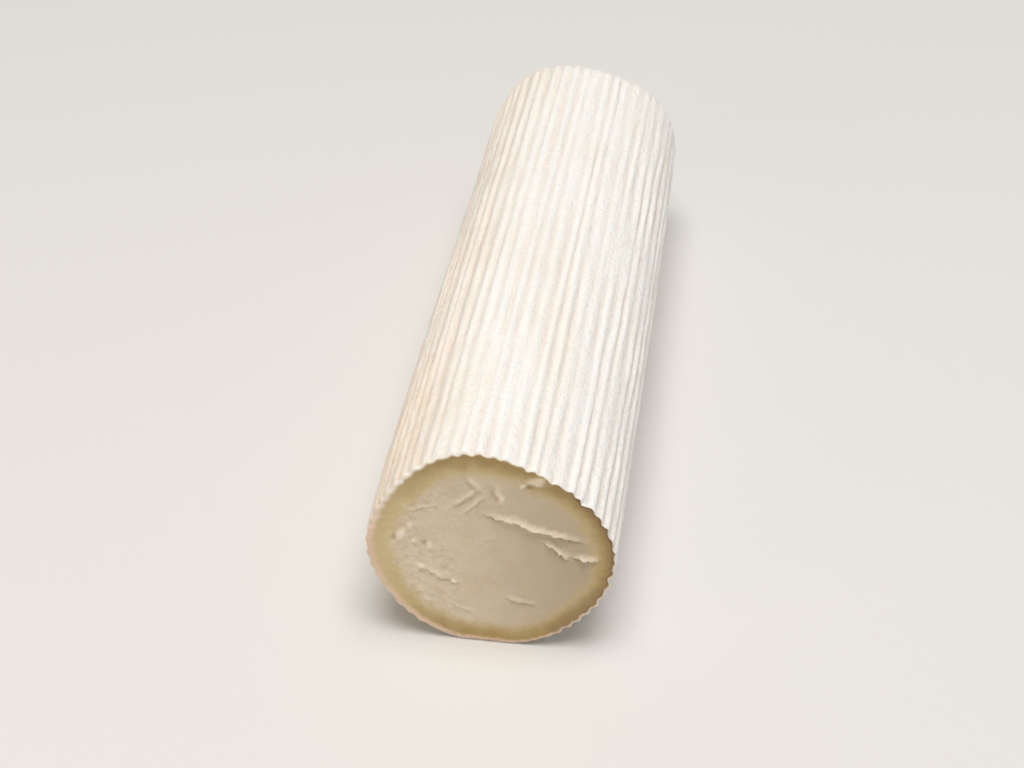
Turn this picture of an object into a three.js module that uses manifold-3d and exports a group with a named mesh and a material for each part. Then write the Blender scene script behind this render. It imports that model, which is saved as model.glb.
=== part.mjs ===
// A soft-ripened goat cheese log, with one end cut off: a white-rinded roll with ridges along it, which lies on
// the flat strip that its own weight has pressed. Millimetres, +Z up. The roll runs along Y. The cut faces -Y,
// and the end that still has its rind faces +Y.
import * as THREE from "three";
import { LoftGeometry } from "three/addons/geometries/LoftGeometry.js";
import { mergeVertices } from "three/addons/utils/BufferGeometryUtils.js";
import Module from "manifold-3d";

// The roll: its length, its mean radius, and the height of its middle over the table, which is lower than the
// radius and so leaves the flat strip. It swells a little part of the way along.
const length = 240;
const radius = 33.6;
const middleHeight = 32.5;
const middleX = -0.5;
const swell = 0.35;

// The ridges along it: narrow crests between round valleys, uneven in height and spacing, wandering a little,
// and pressed out near the table.
const ridges = 54;
const ridgeDepth = 1.35;
const ridgeUneven = 0.3;
const crestLevel = 0.63;
const spacingUneven = 0.14;
const wander = 0.1;
const stepsPerRidge = 4;
const pressedOutBelow = 7;

// How far the roll is from round: so many lobes around it, each so high, with a crest at so many degrees from
// +X towards +Z. They turn slowly along the roll.
const lobes = [
  { count: 2, height: 0.3, crest: -14 },
  { count: 3, height: 0.5, crest: -2 },
  { count: 4, height: 0.55, crest: 11 },
  { count: 5, height: 0.2, crest: 30 },
];
const lobeTurn = 16;

// The end with its rind: a round shoulder, and a face that swells a little towards its middle.
const shoulder = 13;
const sideSteps = 9;
const shoulderSteps = 5;
const endCrown = 1.2;
const crownShare = 0.3;

// The torn places on the cut, where the knife dragged the paste. Each point is x and height from the middle of
// the roll. At a tear the cut drops by its depth, comes up again over its reach, and has a proud lip above.
// Tears and scratches are made in strides, ragged by their roughness, and clear of the cut's own plane.
const tears = [
  { edge: [[-0.6, 13], [7.2, 11.4], [12, 9.5], [18.8, 8.1], [25.6, 6.6]], depth: 1, reach: 10, lip: 0.8 },
  { edge: [[15.2, 5.2], [18.1, 3.4], [22, 0.3]], depth: 0.7, reach: 5, lip: 0.6 },
  { edge: [[23.4, 1.1], [27, 0.7], [30.4, 0.5]], depth: 0.8, reach: 5, lip: 0.7 },
];
const scratches = [
  { line: [[-6.9, 25], [-4.6, 22.4], [-1.8, 19.6]], width: 1.6, depth: 0.8 },
  { line: [[-9.8, 14], [-5.9, 17.1], [-1.1, 21.8]], width: 1.5, depth: 0.8 },
  { line: [[1, 23.6], [1.5, 20.2], [3.2, 16.6]], width: 1.7, depth: 0.8 },
  { line: [[-6.4, 12.4], [-3.2, 15.8], [-0.4, 19.2]], width: 1.1, depth: 0.5 },
  { line: [[-22.6, 11.4], [-18.8, 13.1], [-13.4, 14.5]], width: 1, depth: 0.4 },
];
const stride = 1.5;
const roughness = 0.3;
const lipWidth = 1.8;
const clear = 0.05;

// Small holes in the cut, and crumbs and curds that stand out of it.
const pits = [
  { at: [-26.4, 2.2], size: 1.3 },
  { at: [-17.6, 1.4], size: 1 },
  { at: [11.6, 24.4], size: 1.4 },
];
const lumps = [
  { at: [-24.4, 3.6], size: 1.3 },
  { at: [-16, 0.8], size: 1 },
  { at: [12.9, 26.2], size: 1.6 },
  { at: [3.4, 18.8], size: 1.2 },
  { at: [-19.6, -7.6], size: 1.5 },
  { at: [-15.4, -9.8], size: 1.2 },
  { at: [-11, -11], size: 1.1 },
];
const lumpFlatness = 0.5;

const cutY = -length / 2;
const towardsFront = new THREE.Vector3(0, -1, 0);
const { clamp, degToRad, lerp, smoothstep } = THREE.MathUtils;
const wasm = await Module();
wasm.setup();

// A repeatable number from -1 to 1 for the nth of something.
function uneven(n) {
  const spread = Math.sin(n * 12.9898) * 43758.5453;
  return 2 * (spread - Math.floor(spread)) - 1;
}

// The angle around the roll, in radians, at so many ridges from +X and such a share of the way along.
function angleAt(count, along) {
  const whole = Math.floor(count);
  const crest = (n) => {
    const own = n % ridges;
    return n + spacingUneven * uneven(own + 1) + wander * Math.sin(7 * along + 2.3 * own);
  };
  return (lerp(crest(whole), crest(whole + 1), count - whole) * 2 * Math.PI) / ridges;
}

// The roll's outline at a place along it, as points around it. The shoulder draws it in and its ridges fade.
function outline(y, drawnIn, ridgeShare) {
  const points = [];
  const along = (y - cutY) / length;
  for (let i = 0; i < ridges * stepsPerRidge; i++) {
    const count = i / stepsPerRidge;
    const angle = angleAt(count, along);
    let out = radius - drawnIn + swell * Math.sin(5 * along);
    for (const lobe of lobes) {
      out += lobe.height * Math.cos(lobe.count * (angle - degToRad(lobe.crest + lobeTurn * along)));
    }
    const unpressed = smoothstep(middleHeight + out * Math.sin(angle), 0, pressedOutBelow);
    const tall = 1 + ridgeUneven * uneven((Math.round(count) % ridges) + 0.5);
    const profile = crestLevel - Math.abs(Math.sin(Math.PI * count));
    out += ridgeDepth * tall * profile * ridgeShare * unpressed;
    points.push(new THREE.Vector3(middleX + out * Math.cos(angle), y, middleHeight + out * Math.sin(angle)));
  }
  return points.reverse();
}

function roll() {
  const sections = [];
  const shoulderY = length / 2 - endCrown - shoulder;
  for (let i = 0; i <= sideSteps; i++) {
    sections.push(outline(lerp(cutY, shoulderY, i / sideSteps), 0, 1));
  }
  for (let i = 1; i <= shoulderSteps; i++) {
    const turn = (Math.PI / 2) * (i / shoulderSteps);
    const drawnIn = shoulder * (1 - Math.cos(turn));
    sections.push(outline(shoulderY + shoulder * Math.sin(turn), drawnIn, 1 - i / shoulderSteps));
  }
  sections.push(outline(length / 2, radius * (1 - crownShare), 0));
  return new LoftGeometry(sections, { capStart: true, capEnd: true });
}

// A point on the cut, at x and height from the middle of the roll.
function onCut([x, height]) {
  return new THREE.Vector3(middleX + x, cutY, middleHeight + height);
}

// A ragged band along a line on the cut. The section of the band at each share of its length is a list of
// points, each so far down from the line and so far in front of the cut.
function band(line, seed, section) {
  const path = new THREE.CatmullRomCurve3(line.map(onCut));
  const count = Math.round(path.getLength() / stride);
  const sections = [];
  for (let i = 0; i <= count; i++) {
    const tangent = path.getTangentAt(i / count);
    const down = new THREE.Vector3(tangent.z, 0, -tangent.x);
    const place = path.getPointAt(i / count).addScaledVector(down, roughness * uneven(seed + i));
    sections.push(
      section(i / count, uneven(seed - i)).map(([below, inFront]) =>
        place.clone().addScaledVector(down, below).addScaledVector(towardsFront, inFront),
      ),
    );
  }
  return new LoftGeometry(sections, { capStart: true, capEnd: true });
}

// From nearly 0 at both ends of a band to 1 in its middle.
function taper(share) {
  return Math.sqrt(Math.sin(Math.PI * clamp(share, 0.04, 0.96)));
}

// What a tear takes away: a wedge, deepest at the torn edge.
function tearWedge({ edge, depth, reach }, index) {
  return band(edge, 40 * index, (share, chance) => {
    const deep = depth * taper(share) * (1 + 0.2 * chance);
    const far = reach * taper(share) ** 2 + 0.4;
    return [[far, depth], [far, clear], [0.3 * deep, -deep], [0, depth]];
  });
}

// What a tear pushes up: a lip along the torn edge, which slopes back to the cut above it.
function tearLip({ edge, depth, lip }, index) {
  return band(edge, 40 * index, (share, chance) => {
    const proud = lip * taper(share) * (0.8 + 0.4 * chance);
    const under = -0.3 * depth;
    return [[clear, under], [-lipWidth, under], [-lipWidth, -clear], [-0.35, proud], [clear, 0.4 * proud]];
  });
}

// What a scratch takes away: a groove that runs out at both ends.
function groove({ line, width, depth }, index) {
  return band(line, 200 + 20 * index, (share, chance) => {
    const half = (width / 2) * taper(share) * (1 + 0.3 * chance);
    const deep = depth * taper(share);
    return [[half, 0], [0, -deep], [-half, 0], [0, deep]];
  });
}

// A blob half sunk into the cut, each longer one way and turned its own way, to take away or to add.
function blob({ at, size }, index, flatness) {
  const geometry = new THREE.IcosahedronGeometry(size, 1);
  geometry.scale(1.25 + 0.25 * uneven(index), flatness, 0.75).rotateY(1.2 * uneven(index + 20));
  const place = onCut(at);
  return geometry.translate(place.x, place.y, place.z);
}

// A closed geometry as a solid that can be cut and joined.
function solid(geometry) {
  const bare = new THREE.BufferGeometry();
  bare.setAttribute("position", geometry.getAttribute("position"));
  bare.setIndex(geometry.index);
  const merged = mergeVertices(bare, 1e-4);
  return new wasm.Manifold(
    new wasm.Mesh({
      numProp: 3,
      vertProperties: merged.attributes.position.array,
      triVerts: new Uint32Array(merged.index.array),
    }),
  );
}

// A solid's surface as a geometry again.
function surface(made) {
  const mesh = made.getMesh();
  const geometry = new THREE.BufferGeometry();
  geometry.setAttribute("position", new THREE.BufferAttribute(mesh.vertProperties, 3));
  geometry.setIndex(new THREE.BufferAttribute(mesh.triVerts, 1));
  geometry.computeVertexNormals();
  return geometry;
}

const belowTable = new THREE.BoxGeometry(4 * radius, 2 * length, radius).translate(0, 0, -radius / 2);
const taken = [belowTable, ...tears.map(tearWedge), ...scratches.map(groove)];
const lips = tears.map(tearLip);
const blobs = lumps.map((lump, i) => blob(lump, i, lumpFlatness));
const holes = pits.map((pit, i) => blob(pit, i, 1));

let cheese = solid(roll());
for (const geometry of taken) cheese = cheese.subtract(solid(geometry));
for (const geometry of [...lips, ...blobs]) cheese = cheese.add(solid(geometry));
for (const geometry of holes) cheese = cheese.subtract(solid(geometry));

const rind = new THREE.MeshStandardMaterial({ color: 0xf3eadb, roughness: 0.85, metalness: 0 });
const log = new THREE.Mesh(surface(cheese), rind);
log.name = "cheese_log";

const group = new THREE.Group();
group.add(log);
export default group;
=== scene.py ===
import math

import bpy
import numpy as np
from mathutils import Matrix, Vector, noise


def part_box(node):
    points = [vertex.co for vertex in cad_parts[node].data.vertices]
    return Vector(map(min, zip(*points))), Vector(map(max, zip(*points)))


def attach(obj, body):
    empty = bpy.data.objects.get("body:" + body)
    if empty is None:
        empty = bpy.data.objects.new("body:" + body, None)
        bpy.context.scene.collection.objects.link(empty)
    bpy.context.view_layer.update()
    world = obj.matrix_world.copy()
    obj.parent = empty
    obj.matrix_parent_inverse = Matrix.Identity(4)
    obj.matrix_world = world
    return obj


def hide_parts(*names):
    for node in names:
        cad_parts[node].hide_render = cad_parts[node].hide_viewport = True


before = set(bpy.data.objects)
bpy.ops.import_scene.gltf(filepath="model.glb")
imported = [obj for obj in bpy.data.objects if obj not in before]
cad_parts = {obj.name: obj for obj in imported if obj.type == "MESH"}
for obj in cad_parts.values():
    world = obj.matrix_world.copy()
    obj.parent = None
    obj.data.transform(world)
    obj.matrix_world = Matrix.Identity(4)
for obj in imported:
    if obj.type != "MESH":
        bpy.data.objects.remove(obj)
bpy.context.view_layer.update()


# The skin of the whole cheese, in millimetres. The real log is one piece: curd moulded in a ridged mat and
# ripened under a white rind. One small circle is extruded ring by ring, out over the cut, along the side,
# round the shoulder and in over the far end, so that the skin is closed.
MM = 0.001
RIDGES = 54
STEPS_PER_RIDGE = 8
LENGTH = 240
RADIUS = 33.6
MIDDLE_X = -0.5
MIDDLE_HEIGHT = 32.5
SHOULDER = 13
END_CROWN = 1.2
POLE = 0.4
CENTRE_RADIUS = 12
CENTRE_RING = 0.45
CUT_RING = 0.27
EDGE_ROUND = 0.25
EDGE_CORNER = 0.06
BEHIND_EDGE = (0.6, 1.1, 1.8, 3)
NEAR_LENGTH = 44
NEAR_RING = 1.6
FAR_RING = 3
SHOULDER_TURN = math.radians(7.5)
END_RING = 1.9

end_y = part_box("cheese_log")[1].y / MM
cut_y = end_y - LENGTH
shoulder_y = end_y - END_CROWN - SHOULDER


def even_steps(start, stop, size):
    """Places after start, up to and at stop, in equal steps of about this size."""
    count = max(1, round(abs(stop - start) / size))
    return [start + (stop - start) * (i + 1) / count for i in range(count)]


def ring_places():
    """The radius and the place along the log of each ring after the first."""
    rings = [(r, cut_y) for r in even_steps(POLE, CENTRE_RADIUS, CENTRE_RING)]
    rings += [(r, cut_y) for r in even_steps(CENTRE_RADIUS, RADIUS - EDGE_ROUND, CUT_RING)]
    rings += [(RADIUS - EDGE_CORNER, cut_y + EDGE_CORNER), (RADIUS, cut_y + EDGE_ROUND)]
    rings += [(RADIUS, cut_y + behind) for behind in BEHIND_EDGE]
    rings += [(RADIUS, y) for y in even_steps(cut_y + BEHIND_EDGE[-1], cut_y + NEAR_LENGTH, NEAR_RING)]
    rings += [(RADIUS, y) for y in even_steps(cut_y + NEAR_LENGTH, shoulder_y, FAR_RING)]
    for turn in even_steps(0, math.pi / 2, SHOULDER_TURN):
        rings.append((RADIUS - SHOULDER * (1 - math.cos(turn)), shoulder_y + SHOULDER * math.sin(turn)))
    face_radius = RADIUS - SHOULDER
    for r in even_steps(face_radius, POLE, END_RING):
        rings.append((r, shoulder_y + SHOULDER + END_CROWN * (1 - (r / face_radius) ** 2)))
    return rings


bpy.ops.object.select_all(action="DESELECT")
bpy.ops.mesh.primitive_circle_add(
    vertices=RIDGES * STEPS_PER_RIDGE,
    radius=POLE * MM,
    fill_type="TRIFAN",
    location=(0, cut_y * MM, 0),
    rotation=(math.pi / 2, 0, 0),
)
log = bpy.context.object
log.name = "ripened_log"
bpy.ops.object.transform_apply(location=True, rotation=True, scale=True)
bpy.ops.object.mode_set(mode="EDIT")
bpy.ops.mesh.select_all(action="SELECT")
bpy.ops.mesh.region_to_loop()
last_r, last_y = POLE, cut_y
for r, y in ring_places():
    bpy.ops.mesh.extrude_region_move(TRANSFORM_OT_translate={"value": (0, (y - last_y) * MM, 0)})
    if r != last_r:
        bpy.ops.transform.resize(value=(r / last_r, 1, r / last_r), center_override=(0, y * MM, 0))
    last_r, last_y = r, y
bpy.ops.mesh.extrude_region_move(TRANSFORM_OT_translate={"value": (0, 0, 0)})
bpy.ops.mesh.merge(type="CENTER")
bpy.ops.mesh.select_all(action="SELECT")
bpy.ops.mesh.normals_make_consistent(inside=False)
bpy.ops.object.mode_set(mode="OBJECT")


# The roll's own form: not quite round, flat where it lies, and ridged by the mould's mat. The ridges are
# uneven, pressed out where the log rests, and fade over the shoulder. Every point of the skin is moved out
# or in along its own radius. Degrees and ridges are counted from +X towards +Z.
SLACK = 0.001
SWELL = 0.35
SPACING_UNEVEN = 0.14
WANDER = 0.1
DENTS = 0.25
RIDGE_DEPTH = 0.92
RIDGE_UNEVEN = 0.3
MEAN_TALL = 0.72
LEAST_TALL = 0.18
MOST_TALL = 1.3
CREST_LEVEL = 0.5
CRUSHED = 0.2
CRUSHED_LENGTH = 1.6
PRESSED_OUT_BELOW = 7
DIMPLES = 0.25
TABLE_EASE = 0.5
RIDGES_REACH_IN = 1.6
NOTCH_WIDTH = 1.1
NOTCH_LENGTH = 1.3

# The roll's lobes: how many go round it, how high they are, and where one of them is at the cut, in degrees.
# From the cut to the far end, all of them turn by LOBE_TURN degrees.
LOBES = [(2, 0.3, -14), (3, 0.5, -2), (4, 0.55, 11), (5, 0.2, 30)]
LOBE_TURN = 16

# The notches in the rim of the cut: where each is, in degrees, and how deep.
NOTCHES = [(38.5, 1.3), (57, 0.6), (71, 0.4), (-9, 0.7), (-36, 0.5), (163, 0.5), (214, 0.8)]


def uneven(n):
    """A repeatable number from -1 to 1 for the nth of something."""
    spread = np.sin(n * 12.9898) * 43758.5453
    return 2 * (spread - np.floor(spread)) - 1


def smooth(value, start, stop):
    """0 before start, 1 after stop, and an even curve between them."""
    share = np.clip((value - start) / (stop - start), 0, 1)
    return share * share * (3 - 2 * share)


def bump(value, middle, width):
    """1 where the value is at the middle, falling to 0 on both sides of it over about this width."""
    return np.exp(-(((value - middle) / width) ** 2))


def grain(points, size, stretch, seed):
    """Soft noise from about -1 to 1 at points in mm, with spots of this size, drawn out along the log."""
    at = points / (size, size * stretch, size) + 31.7 * seed
    return np.array([noise.noise(Vector(p)) for p in at])


def crest_at(n, along):
    """Where the nth ridge runs, counted in ridges from +X."""
    own = np.mod(n, RIDGES)
    return n + SPACING_UNEVEN * uneven(own + 1) + WANDER * np.sin(7 * along + 2.3 * own)


skin = log.data
flat = np.empty(len(skin.vertices) * 3)
skin.vertices.foreach_get("co", flat)
ring = flat.reshape(-1, 3) / MM
share = np.hypot(ring[:, 0], ring[:, 2]) / RADIUS
along = (ring[:, 1] - cut_y) / LENGTH
behind_cut = along * LENGTH
on_cut = (ring[:, 1] < cut_y + 0.01) & (share < 1)

# Each point's place is counted in ridges. The slack keeps rounding from moving a point to the ridge before.
count = np.mod(np.arctan2(ring[:, 2], ring[:, 0]) / (2 * math.pi) * RIDGES + SLACK, RIDGES) - SLACK
whole = np.floor(count + SLACK)
part = count - whole
angle = (crest_at(whole, along) * (1 - part) + crest_at(whole + 1, along) * part) * 2 * math.pi / RIDGES

body = np.full(len(ring), float(RADIUS)) + SWELL * np.sin(5 * along)
for lobes, lift, turn in LOBES:
    body += lift * np.cos(lobes * (angle - np.radians(turn + LOBE_TURN * along)))
here = np.stack([RADIUS * np.cos(angle), ring[:, 1], RADIUS * np.sin(angle)], 1)
body += DENTS * grain(here, 22, 2, 1)

own_tall = MEAN_TALL + RIDGE_UNEVEN * uneven(np.mod(np.round(count), RIDGES) + 0.5)
tall = own_tall + 0.7 * grain(here, 15, 4, 4) + 0.5 * grain(here, 5, 4, 17)
tall = np.clip(tall, LEAST_TALL, MOST_TALL) * (1 - CRUSHED * np.exp(-behind_cut / CRUSHED_LENGTH))
ridge = RIDGE_DEPTH * tall * (np.cos(math.pi * count) ** 2 - CREST_LEVEL)
keeps = smooth(MIDDLE_HEIGHT + body * np.sin(angle), 0, PRESSED_OUT_BELOW)
fade = 1 - smooth(ring[:, 1], shoulder_y - 4, end_y - 1)
streaks = 0.24 * grain(here, 2.2, 7, 2) + 0.16 * grain(here, 1.2, 3, 3)
relief = (ridge * fade + streaks * (0.4 + 0.6 * fade)) * keeps
relief -= DIMPLES * (1 - fade) * (1 + grain(here, 4, 0.8, 19))
for turn, depth in NOTCHES:
    aside = np.angle(np.exp(1j * (angle - math.radians(turn)))) * RADIUS
    relief -= depth * bump(aside, 0, NOTCH_WIDTH) * np.exp(-behind_cut / NOTCH_LENGTH)
rim = body + relief

# What would reach below the table is pressed flat on it, with a soft turn on both sides of the flat strip.
to_table = MIDDLE_HEIGHT / np.maximum(-np.sin(angle), 0.05)
pressed = np.clip((rim - to_table) / TABLE_EASE + 0.5, 0, 1)
rim = rim * (1 - pressed) + to_table * pressed - TABLE_EASE / 2 * pressed * (1 - pressed)

# On the cut, the ridges shape only the rings close to the rind.
smooth_rim = np.minimum(body, to_table)
inner = np.where(on_cut, np.exp(-(1 - share) * RADIUS / RIDGES_REACH_IN), 1)
out = share * (smooth_rim + (rim - smooth_rim) * inner)
place = np.stack([MIDDLE_X + out * np.cos(angle), ring[:, 1], MIDDLE_HEIGHT + out * np.sin(angle)], 1)
place[:, 2] = np.maximum(place[:, 2], 0)


# The cut. A knife pulled through the soft paste left it smooth in the middle, torn in five places with proud
# lips, scratched, pitted, and crumbly at its left. Points are x and height from the middle of the roll. The
# cut's relief is worked out as how proud of the knife's plane each point stands.
LIP_WIDTH = 2
LIP_RISE = 1.5
LIP_UNEVEN = 0.7
DROP_SHARE = 0.6
CRACK_BELOW = 0.35
CRACK_WIDTH = 0.32
CRACK_DEPTH = 0.6
GROOVE_WIDTH = 0.55
GROOVE_DEPTH = 0.5
BURR_ABOVE = 0.85
BURR_WIDTH = 0.5
BURR_HEIGHT = 0.36
LONGER = 1.6
PIT_DEPTH = 0.5
LUMP_HEIGHT = 0.36

# Each tear: its torn edge, how deep the cut drops below it, how far down that reaches, and its lip's height.
TEARS = [
    ([(-0.6, 13), (7.2, 11.4), (12, 9.5), (18.8, 8.1), (25.6, 6.6)], 1.0, 10, 0.8),
    ([(15.2, 5.2), (18.1, 3.4), (22, 0.3)], 0.7, 5, 0.8),
    ([(23.4, 1.1), (27, 0.7), (30.4, 0.5)], 0.8, 5, 0.8),
    ([(-19.6, -7), (-16.6, -8.3), (-12.8, -10.6), (-7.8, -11.8)], 0.4, 3, 0.24),
    ([(4, -15.6), (8.6, -16.9), (13.2, -17)], 0.35, 4, 0.25),
]

# Each scratch: its line, its width and its depth.
SCRATCHES = [
    ([(-6.9, 25), (-4.6, 22.4), (-1.8, 19.6)], 1.6, 0.8),
    ([(-9.8, 14), (-5.9, 17.1), (-1.1, 21.8)], 1.5, 0.8),
    ([(1, 23.6), (1.5, 20.2), (3.2, 16.6)], 1.7, 0.8),
    ([(-6.4, 12.4), (-3.2, 15.8), (-0.4, 19.2)], 1.1, 0.5),
    ([(-22.6, 11.4), (-18.8, 13.1), (-13.4, 14.5)], 1.0, 0.4),
    ([(-11, -19.4), (-8.4, -21.2), (-4.6, -22.3)], 1.0, 0.3),
]

# Each small hole and each crumb: its middle, its size, and how many degrees its longer way is turned.
PITS = [
    ((-26.2, 2.4), 1.4, 80),
    ((-17.9, 1.1), 1.3, 85),
    ((11.4, 24.2), 1.3, 20),
    ((26.3, 20.9), 1.4, 40),
]
LUMPS = [
    ((-24.4, 3.6), 1.9, 50),
    ((-16.3, 0.9), 1.0, 75),
    ((-20.8, 1.9), 0.9, 30),
    ((-21.6, 7.2), 1.0, 60),
    ((13.1, 26.1), 2.5, 5),
    ((9.6, 24.2), 1.0, 40),
    ((3.6, 18.8), 1.4, 70),
    ((-19.2, -6.8), 1.3, -20),
    ((-14.6, -9.2), 1.2, -35),
    ((-9.6, -11.2), 1.0, -5),
]


def beside(points, line):
    """How far along a line each point on the cut is, as a share, and how far below the line, in mm."""
    ends = np.array(line, float)
    best = np.full(len(points), np.inf)
    share_along = np.zeros(len(points))
    below = np.zeros(len(points))
    lengths = np.hypot(*np.diff(ends, axis=0).T)
    for i, (start, stop) in enumerate(zip(ends[:-1], ends[1:])):
        way = (stop - start) / lengths[i]
        on = np.clip((points - start) @ way, 0, lengths[i])
        gap = points - start - on[:, None] * way
        near = np.hypot(gap[:, 0], gap[:, 1])
        side = np.sign(gap[:, 0] * way[1] - gap[:, 1] * way[0])
        closer = near < best
        best = np.where(closer, near, best)
        below = np.where(closer, near * side, below)
        share_along = np.where(closer, (lengths[:i].sum() + on) / lengths.sum(), share_along)
    return share_along, below


def taper(share_along):
    """Nearly 0 at both ends of a mark, and 1 in its middle."""
    return np.sqrt(np.sin(math.pi * np.clip(share_along, 0.01, 0.99)))


cut = np.flatnonzero(on_cut)
face = place[cut]
flat_place = face[:, [0, 2]] - (MIDDLE_X, MIDDLE_HEIGHT)
under_rind = np.where(on_cut, rim - out, 0)
skin_deep = under_rind[cut]
rag =0.5 * grain(face, 1.7, 1, 5) + 0.3 * grain(face, 0.8, 1, 6)


def blob(centre, size, turn):
    """1 within a ragged spot of this size in mm, longer one way and turned, and 0 outside it."""
    way = np.array([math.cos(math.radians(turn)), math.sin(math.radians(turn))])
    aside = flat_place - centre
    far = np.hypot(aside @ way / LONGER, aside @ (-way[1], way[0])) + 0.8 * rag
    return smooth(1.5 - far / (0.7 * size), 0, 1.3)


proud = 0.22 * grain(face, 13, 1, 7) + 0.08 * grain(face, 5, 1, 18)
# The marks below also record where brown painted shade goes, in cracks, grooves, pits and the gap, and where
# paste is painted pale, partly as highlights.
torn, crack_shade, pale_and_highlight = np.zeros((3, len(cut)))
for edge, drop, reach, lip in TEARS:
    share_along, below = beside(flat_place, edge)
    below = below + rag
    strong = taper(share_along)
    under = np.clip(1 - below / (reach * strong**2 + 0.4), 0, 1) ** 1.6 * smooth(below, -0.05, 0.2)
    lip_width = LIP_WIDTH * (1 + 0.5 * grain(face, 3.5, 1, 21))
    over = np.clip(1 + below / lip_width, 0, 1) * (1 - smooth(below, -0.1, 0.15))
    split = strong * bump(below, CRACK_BELOW, CRACK_WIDTH)
    rise = lip * (LIP_RISE + LIP_UNEVEN * grain(face, 2.2, 1, 8))
    proud += strong * (rise * over - DROP_SHARE * drop * under)
    proud -= CRACK_DEPTH * drop * split
    torn = np.maximum(torn, strong * bump(below, 0.3, 1.2))
    crack_shade = np.maximum(crack_shade, drop * split)
    pale_and_highlight = np.maximum(pale_and_highlight, min(1, 1.4 * lip) * strong * over)
for line, width, drop in SCRATCHES:
    share_along, below = beside(flat_place, line)
    below = below + 0.6 * rag
    strong = taper(share_along)
    groove = bump(below, 0, GROOVE_WIDTH * width)
    burr = bump(below, -BURR_ABOVE * width, BURR_WIDTH * width)
    raised = BURR_HEIGHT * burr - GROOVE_DEPTH * groove
    proud += strong * drop * raised * (1 + 0.6 * grain(face, 2.5, 1, 20))
    torn = np.maximum(torn, strong * bump(below, 0, width))
    crack_shade = np.maximum(crack_shade, 0.4 * strong * groove)
    pale_and_highlight = np.maximum(pale_and_highlight, 0.5 * strong * burr)
for centre, size, turn in PITS:
    pit = blob(centre, size, turn)
    proud -= PIT_DEPTH * size * pit
    torn = np.maximum(torn, pit)
    crack_shade = np.maximum(crack_shade, 0.5 * pit)
for centre, size, turn in LUMPS:
    lump = blob(centre, size, turn)
    proud += LUMP_HEIGHT * size * lump
    pale_and_highlight = np.maximum(pale_and_highlight, 0.8 * lump)

# The curd is rough where it crumbled, and elsewhere it is smeared the way that the knife went.
crumbly =smooth(grain(face, 7, 1, 9) - 0.035 * flat_place[:, 0] - 0.15, 0, 0.5)
crumbly = np.maximum(0.12, np.maximum(crumbly, smooth(torn, 0.05, 0.6)))
crumbly *= smooth(skin_deep, 1.5, 5)
proud += crumbly * (0.2 * grain(face, 1.8, 1, 10) + 0.08 * grain(face, 0.8, 1, 11))
drag = flat_place @ (0.94, -0.34)
across = flat_place @ (0.34, 0.94)
proud += 0.05 * grain(np.stack([drag * 0.12, across, face[:, 1]], 1), 1.1, 1, 12) * (1 - crumbly)


# The cheese under the rind. The paste has sunk a little within the rind, whose cut edge is thickest at the
# left. The creamline is widest at the upper left. At the right the cheese is moist and brown, partly as
# painted shade, in a stretch that is widest low down, and the rind has come away from it a little. MIDDLE
# and WIDEST are in degrees.
CREAM_WIDTH = 7.2
CREAM_WIDER = 0.9
CREAM_WIDEST = 150
EDGE_WIDTH = 1.15
EDGE_WIDER = 0.85
EDGE_WIDEST = 205
MOIST_MIDDLE = -6
MOIST_WIDTH = 3
MOIST_WIDER = 3.5
MOIST_WIDEST = -42
GAP_PLACE = 0.7
GAP_WIDTH = 0.35
GAP_DEPTH = 0.5
PASTE_SUNK = 0.5
CREAM_SUNK = 0.3
CREAM_SUNK_PLACE = 3
CREAM_SUNK_WIDTH = 2.2
MOST_PROUD = 0.82

edge_width = EDGE_WIDTH + EDGE_WIDER * np.cos(angle - math.radians(EDGE_WIDEST))
cream_width = CREAM_WIDTH + CREAM_WIDER * np.cos(angle - math.radians(CREAM_WIDEST))
in_from_edge = np.where(on_cut, smooth_rim * (1 - share), 0)
edge_share = (0.5 * under_rind + 0.5 * in_from_edge) / edge_width
ripeness = in_from_edge / cream_width
to_moist = np.cos(angle[cut] - math.radians(MOIST_MIDDLE))
moist_here = smooth(to_moist + 0.5 * grain(face, 6, 1, 14), 0.2, 0.9)
to_widest = np.cos(angle[cut] - math.radians(MOIST_WIDEST))
moist_width = MOIST_WIDTH + MOIST_WIDER * smooth(to_widest + 0.1 * grain(face, 4, 1, 22), 0.8, 1)
# Painted shade: a brown stretch at the right, partly moist curd and partly shade, widest low down.
moist_and_shade = moist_here * (1 - smooth((in_from_edge[cut] + rag) / moist_width, 0.2, 1))
gap = moist_here * bump(in_from_edge[cut] - 0.8 * rag, GAP_PLACE, GAP_WIDTH)
# The gap gets brown painted shade.
crack_shade = np.maximum(crack_shade, 0.5 * gap)
sunk = CREAM_SUNK * bump(skin_deep, CREAM_SUNK_PLACE, CREAM_SUNK_WIDTH)
sunk += PASTE_SUNK * smooth(skin_deep, 0.5, 5)
proud -= sunk + GAP_DEPTH * gap
place[cut, 1] -= np.minimum(proud, MOST_PROUD)


# The edge between the cut and the side is worn round, most where the rind is thickest, and a little ragged.
# Both sides of it move back, so that no burr is left.
WORN_BACK = 0.9
WORN_LENGTH = 1.2
RAGGED = 0.25
EDGE_REACH = 4

near_edge = np.flatnonzero(ring[:, 1] < cut_y + EDGE_REACH)
edge_line = np.stack([place[near_edge, 0], np.full(len(near_edge), cut_y), place[near_edge, 2]], 1)
rough = RAGGED * grain(edge_line, 1.2, 1, 13) * (1 - smooth(under_rind[near_edge], 0.8, 2))
worn = WORN_BACK * smooth(edge_width[near_edge], 0.3, 1.2) * np.clip(1 - edge_share[near_edge], 0, 1) ** 2
place[near_edge, 1] += (worn - rough) * np.exp(-(ring[near_edge, 1] - cut_y) / WORN_LENGTH)

skin.vertices.foreach_set("co", (place * MM).ravel())
skin.update()


def note(name, values):
    """Stores a value for each point of the skin, for the materials to read."""
    skin.attributes.new(name, "FLOAT", "POINT").data.foreach_set("value", values.astype(np.float32))


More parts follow.
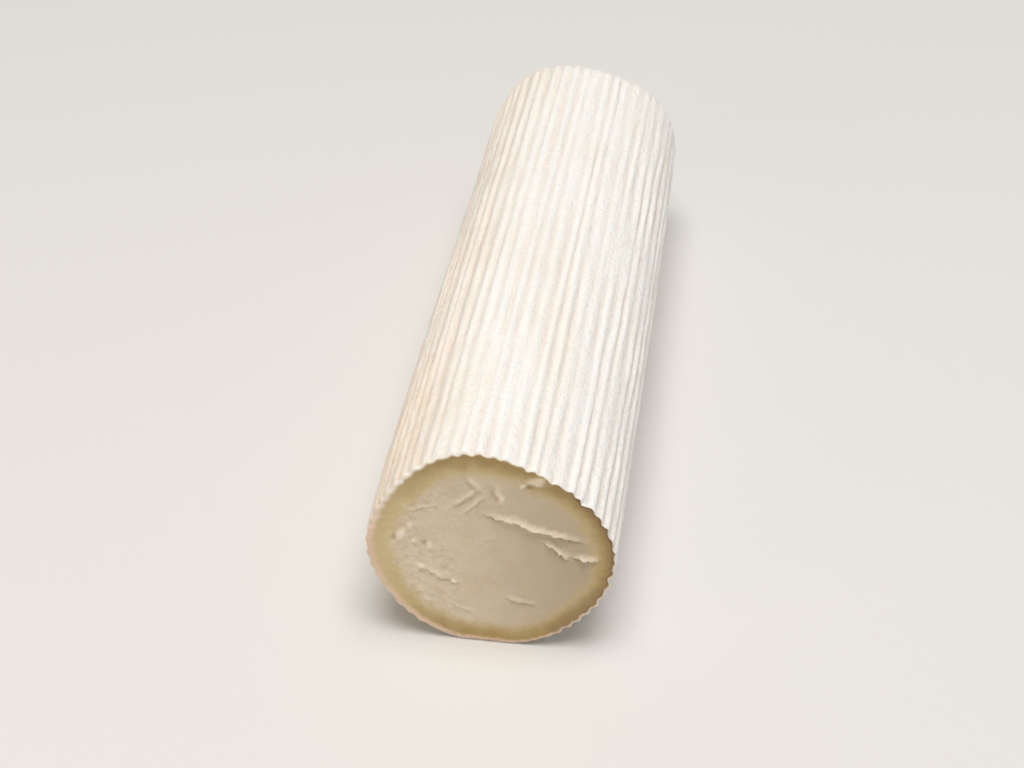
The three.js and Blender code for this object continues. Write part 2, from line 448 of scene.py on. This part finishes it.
on_face = {"torn": torn, "crack_shade": crack_shade, "pale_and_highlight": pale_and_highlight, "crumbly": crumbly, "moist_and_shade": moist_and_shade}
for name, values in on_face.items():
    everywhere = np.zeros(len(ring))
    everywhere[cut] = values
    note(name, everywhere)
note("edge_share", edge_share)
note("ripeness", ripeness)
note("crest", np.clip(CREST_LEVEL + ridge * keeps * fade / RIDGE_DEPTH, 0, 1))
bpy.ops.object.select_all(action="DESELECT")
log.select_set(True)
bpy.context.view_layer.objects.active = log
bpy.ops.object.shade_smooth()


# The rind's finish: a dry, velvety white bloom, whitest on the crests. The valleys are beige, partly the
# skin showing through and partly painted shade, with thin grey streaks that are partly painted shade too,
# and a few tan flecks. The rind has a few peach patches, and its left flank near the cut is tinted peach,
# partly its own tone and partly painted shade.
CREST_WHITE = (249, 248, 245)
VALLEY_BEIGE_AND_SHADE = (240, 234, 227)
PATCH_PEACH_AND_SHADE = (235, 217, 194)
STREAK_GREY_AND_SHADE = (222, 215, 207)
FLECK_TAN = (206, 184, 158)


def tone(colour):
    """A colour as a shader wants it, from its red, green and blue on a screen, 0 to 255."""
    return (*(((c / 255 + 0.055) / 1.055) ** 2.4 for c in colour), 1)


class Shade:
    """A socket of a material. A sum on it adds a Math node, and node() adds a node of any other kind."""

    def __init__(self, tree, socket=None):
        self.tree = tree
        self.socket = socket

    def node(self, kind, settings, sockets, out=0):
        """A new node with these settings, and with these values or links on its sockets."""
        made = self.tree.nodes.new(kind)
        for name, value in settings.items():
            setattr(made, name, value)
        for name, value in sockets.items():
            if isinstance(value, Shade):
                self.tree.links.new(value.socket, made.inputs[name])
            else:
                made.inputs[name].default_value = value
        return Shade(self.tree, made.outputs[out])

    def maths(self, operation, first, second):
        """The result of an operation on two values or links."""
        return self.node("ShaderNodeMath", {"operation": operation}, {0: first, 1: second})

    def __add__(self, other):
        return self.maths("ADD", self, other)

    __radd__ = __add__

    def __sub__(self, other):
        return self.maths("SUBTRACT", self, other)

    def __rsub__(self, other):
        return self.maths("SUBTRACT", other, self)

    def __mul__(self, other):
        return self.maths("MULTIPLY", self, other)

    __rmul__ = __mul__

    def step(self, start, stop):
        """0 before start, 1 after stop, and an even curve between them."""
        limits = {"Value": self, "From Min": start, "From Max": stop}
        return self.node("ShaderNodeMapRange", {"interpolation_type": "SMOOTHSTEP"}, limits)

    def kept(self, name):
        """The value of that name that the skin holds for each of its points."""
        return self.node("ShaderNodeAttribute", {"attribute_name": name}, {}, "Fac")

    def place(self, axis):
        """The place along an axis of the object, in metres."""
        whole = self.node("ShaderNodeTexCoord", {}, {}, "Object")
        return self.node("ShaderNodeSeparateXYZ", {}, {"Vector": whole}, axis)

    def mottle(self, size, seed, stretch=1, detail=3):
        """Noise from 0 to 1 with spots of this size in mm, drawn out along the log."""
        whole = self.node("ShaderNodeTexCoord", {}, {}, "Object")
        squeezed = self.node("ShaderNodeMapping", {}, {"Vector": whole, "Scale": (1, 1 / stretch, 1)})
        sockets = {"Vector": squeezed, "W": seed, "Scale": 1 / (size * MM), "Detail": detail}
        return self.node("ShaderNodeTexNoise", {"noise_dimensions": "4D"}, sockets)

    def mix(self, share, first, second):
        """The first colour where the share is 0, and the second where it is 1."""
        first, second = (c if isinstance(c, Shade) else tone(c) for c in (first, second))
        return self.node("ShaderNodeMix", {"data_type": "RGBA"}, {0: share, 6: first, 7: second}, 2)


def finish(name, constants):
    """A new material, its Principled shader with these constants, and a first Shade to build on."""
    material = bpy.data.materials.new(name)
    material.use_nodes = True
    shader = material.node_tree.nodes["Principled BSDF"]
    for socket, value in constants.items():
        shader.inputs[socket].default_value = value
    return material, shader, Shade(material.node_tree)


def feed(shader, **links):
    """Leads each link to the socket of the shader whose name it bears."""
    for name, link in links.items():
        link.tree.links.new(link.socket, shader.inputs[name.replace("_", " ")])


bloom, shader, start = finish(
    "white_bloom",
    {
        "Subsurface Weight": 0.2,
        "Subsurface Radius": (1, 0.75, 0.5),
        "Subsurface Scale": 0.002,
        "Sheen Weight": 0.15,
        "Sheen Roughness": 0.5,
        "Specular IOR Level": 0.2,
    },
)
crest_share = start.kept("crest")
wide = start.mottle(2.6, 1, 9)
thin = start.mottle(0.8, 2, 16)
fuzz = start.mottle(0.9, 3, 1, 5)
wrinkles = start.mottle(2.2, 6, 0.7)
# Painted shade: the left flank near the cut is tinted peach, added to the rind's own peach patches.
left_flank = (1 - start.place("X").step(-0.03, -0.006)) * (1 - 0.4 * start.place("Y").step(-0.1, -0.02))
patches = start.mottle(15, 4, 3).step(0.48, 0.72) * 0.2
patches = patches + (0.35 + 0.6 * start.mottle(5, 7, 2).step(0.2, 0.65)) * left_flank
flecks = start.mottle(1.6, 5, 2).step(0.68, 0.78)
# Painted shade: the valleys, away from the crests, are beige, partly thin bloom and partly shade.
colour = start.mix((crest_share + 0.8 * wide - 0.4).step(0.05, 0.6), VALLEY_BEIGE_AND_SHADE, CREST_WHITE)
colour = start.mix(patches, colour, PATCH_PEACH_AND_SHADE)
# The grey streaks gather in the valleys, partly as painted shade.
colour = start.mix(thin.step(0.5, 0.7) * (1.1 - crest_share) * 0.4, colour, STREAK_GREY_AND_SHADE)
colour = start.mix((1 - fuzz.step(0.3, 0.45)) * 0.35, colour, VALLEY_BEIGE_AND_SHADE)
colour = start.mix(flecks * (1 - crest_share) * 0.5, colour, FLECK_TAN)
height = fuzz * 1.2 + thin * 0.5 + wide * 0.4 + wrinkles * 1.4
bumpy = start.node("ShaderNodeBump", {}, {"Strength": 0.9, "Distance": 0.4 * MM, "Height": height})
feed(shader, Base_Color=colour, Roughness=0.84 + 0.12 * fuzz, Normal=bumpy)


# The finish of the cut: the rind's thin beige edge, whiter at the top as painted light, then the waxy
# creamline, moist and brown at the right and deeper at the top and right, in both partly as painted shade,
# which blends into chalky ivory paste. The paste has painted light at the left, painted shade towards the
# right and the top, and is mottled where it crumbled. Lips, burrs and crumbs are dry and pale, partly as
# painted highlights, and cracks, pits, grooves and the gap get brown painted shade.
PASTE_IVORY = (226, 210, 184)
PASTE_WHITE_AND_LIT = (235, 221, 197)
PASTE_GREY_AND_SHADE = (195, 178, 152)
PASTE_DRY_AND_HIGHLIGHT = (252, 241, 221)
CREAM_YELLOW = (226, 207, 162)
CREAM_DEEP_AND_SHADE = (179, 152, 98)
MOIST_BROWN_AND_SHADE = (158, 134, 96)
EDGE_BEIGE = (234, 207, 183)
EDGE_LIT_WHITE = (250, 243, 232)
CRACK_SHADE_BROWN = (150, 124, 92)

cheese, shader, start = finish(
    "cut_cheese",
    {
        "Subsurface Weight": 0.25,
        "Subsurface Radius": (1, 0.7, 0.4),
        "Subsurface Scale": 0.003,
        "Specular IOR Level": 0.35,
    },
)
ripe = start.kept("ripeness") + 0.8 * start.mottle(5, 11) + 0.2 * start.mottle(1.2, 12) - 0.5
edge = start.kept("edge_share") + 0.9 * start.mottle(1.1, 13) - 0.45
crumbs_here = start.kept("crumbly")
torn_here = start.kept("torn")
clouds = start.mottle(6, 14)
curds = start.mottle(1.3, 15)
dust = start.mottle(0.35, 16, 1, 4)
to_right = start.place("X").step(-0.02, 0.036)
off_left = start.place("X").step(-0.034, -0.01)
upwards = start.place("Z").step(0.03, 0.06)
# Painted light: the paste is whiter towards the left, added to its cloudy mottling.
colour = start.mix(clouds.step(0.3, 0.7) * 0.7 + 0.3 * (1 - to_right), PASTE_IVORY, PASTE_WHITE_AND_LIT)
colour = start.mix(curds.step(0.45, 0.7) * (0.12 + 0.3 * crumbs_here), colour, PASTE_GREY_AND_SHADE)
# Painted shade: the paste greys towards the right and the top.
colour = start.mix(0.25 * upwards + to_right * (1 - 0.55 * upwards), colour, PASTE_GREY_AND_SHADE)
colour = start.mix(1 - ripe.step(0.6, 1.25), colour, CREAM_YELLOW)
# The creamline deepens beside the rind, and much more at the top and right, where this is painted shade.
colour = start.mix((1 - ripe.step(0.2, 1.25)) * (0.15 + 0.85 * off_left), colour, CREAM_DEEP_AND_SHADE)
# The brown stretch at the right: partly moist curd and partly painted shade.
colour = start.mix(start.kept("moist_and_shade") * 0.9, colour, MOIST_BROWN_AND_SHADE)
# Painted highlight: lips, burrs and crumbs are made pale where they face the light, partly dry paste.
colour = start.mix(start.kept("pale_and_highlight") * 0.9, colour, PASTE_DRY_AND_HIGHLIGHT)
# Painted light: the rind's cut edge is whiter towards the top, where it faces the lamp.
colour = start.mix(1 - edge.step(0.6, 1.5), colour, start.mix(upwards, EDGE_BEIGE, EDGE_LIT_WHITE))
# Painted shade: cracks, grooves, pits and the gap are darkened brown.
colour = start.mix(start.kept("crack_shade").step(0.1, 0.9) * 0.5, colour, CRACK_SHADE_BROWN)
waxy = 1 - ripe.step(0.6, 1.1)
height = curds * (0.45 + 0.6 * crumbs_here) * (1 - 0.5 * waxy) + dust * 0.5 + clouds * 0.4
bumpy = start.node("ShaderNodeBump", {}, {"Strength": 0.8, "Distance": 0.35 * MM, "Height": height})
feed(shader, Base_Color=colour, Roughness=0.68 - 0.2 * waxy + 0.1 * dust + 0.1 * torn_here, Normal=bumpy)

skin.materials.append(bloom)
skin.materials.append(cheese)
for polygon in skin.polygons:
    polygon.material_index = int(all(on_cut[i] for i in polygon.vertices))

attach(log, "root")
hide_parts("cheese_log")


# The table, a plain pale board under the cheese. The camera looks at it from the front, a little from the
# right and from above. The light is soft: a large lamp overhead, and a small warm one low at the left.
TABLE_PALE = (226, 225, 223)
TABLE_SIZE = 12
CAMERA_PLACE = (0.0664, -0.5493, 0.3993)
CAMERA_AZIMUTH = 8
CAMERA_ELEVATION = 35.5
SENSOR_WIDTH = 36
PHOTO_FOCAL_PX = 2080
PHOTO_WIDTH_PX = 1024
LAMPS_AIM = (0, 0, 0.03)
AIR_COLOUR = (1, 0.94, 0.86, 1)
AIR_STRENGTH = 0.3

bpy.ops.mesh.primitive_plane_add(size=TABLE_SIZE)
table = bpy.context.object
table.name = "table_top"
table_finish, shader, start = finish("pale_table", {"Roughness": 0.7, "Base Color": tone(TABLE_PALE)})
table.data.materials.append(table_finish)

bpy.ops.object.camera_add(
    location=CAMERA_PLACE,
    rotation=(math.radians(90 - CAMERA_ELEVATION), 0, math.radians(CAMERA_AZIMUTH)),
)
camera = bpy.context.object
camera.data.sensor_width = SENSOR_WIDTH
camera.data.lens = PHOTO_FOCAL_PX * SENSOR_WIDTH / PHOTO_WIDTH_PX
bpy.context.scene.camera = camera


def softbox(name, place, size, watts, colour):
    """A square lamp that faces the cheese."""
    bpy.ops.object.light_add(type="AREA", location=place)
    lamp = bpy.context.object
    lamp.name = name
    lamp.rotation_euler = (Vector(LAMPS_AIM) - Vector(place)).to_track_quat("-Z", "Y").to_euler()
    lamp.data.size = size
    lamp.data.energy = watts
    lamp.data.color = colour
    lamp.visible_camera = False


softbox("overhead_lamp", (0.15, -0.45, 2.5), 1.5, 54, (1, 0.985, 0.965))
softbox("front_lamp", (-0.42, -0.5, 0.24), 0.3, 0.34, (1, 0.84, 0.68))

world = bpy.data.worlds.new("studio_air")
bpy.context.scene.world = world
world.use_nodes = True
air = world.node_tree.nodes["Background"]
air.inputs["Color"].default_value = AIR_COLOUR
air.inputs["Strength"].default_value = AIR_STRENGTH
bpy.context.scene.view_settings.view_transform = "Standard"
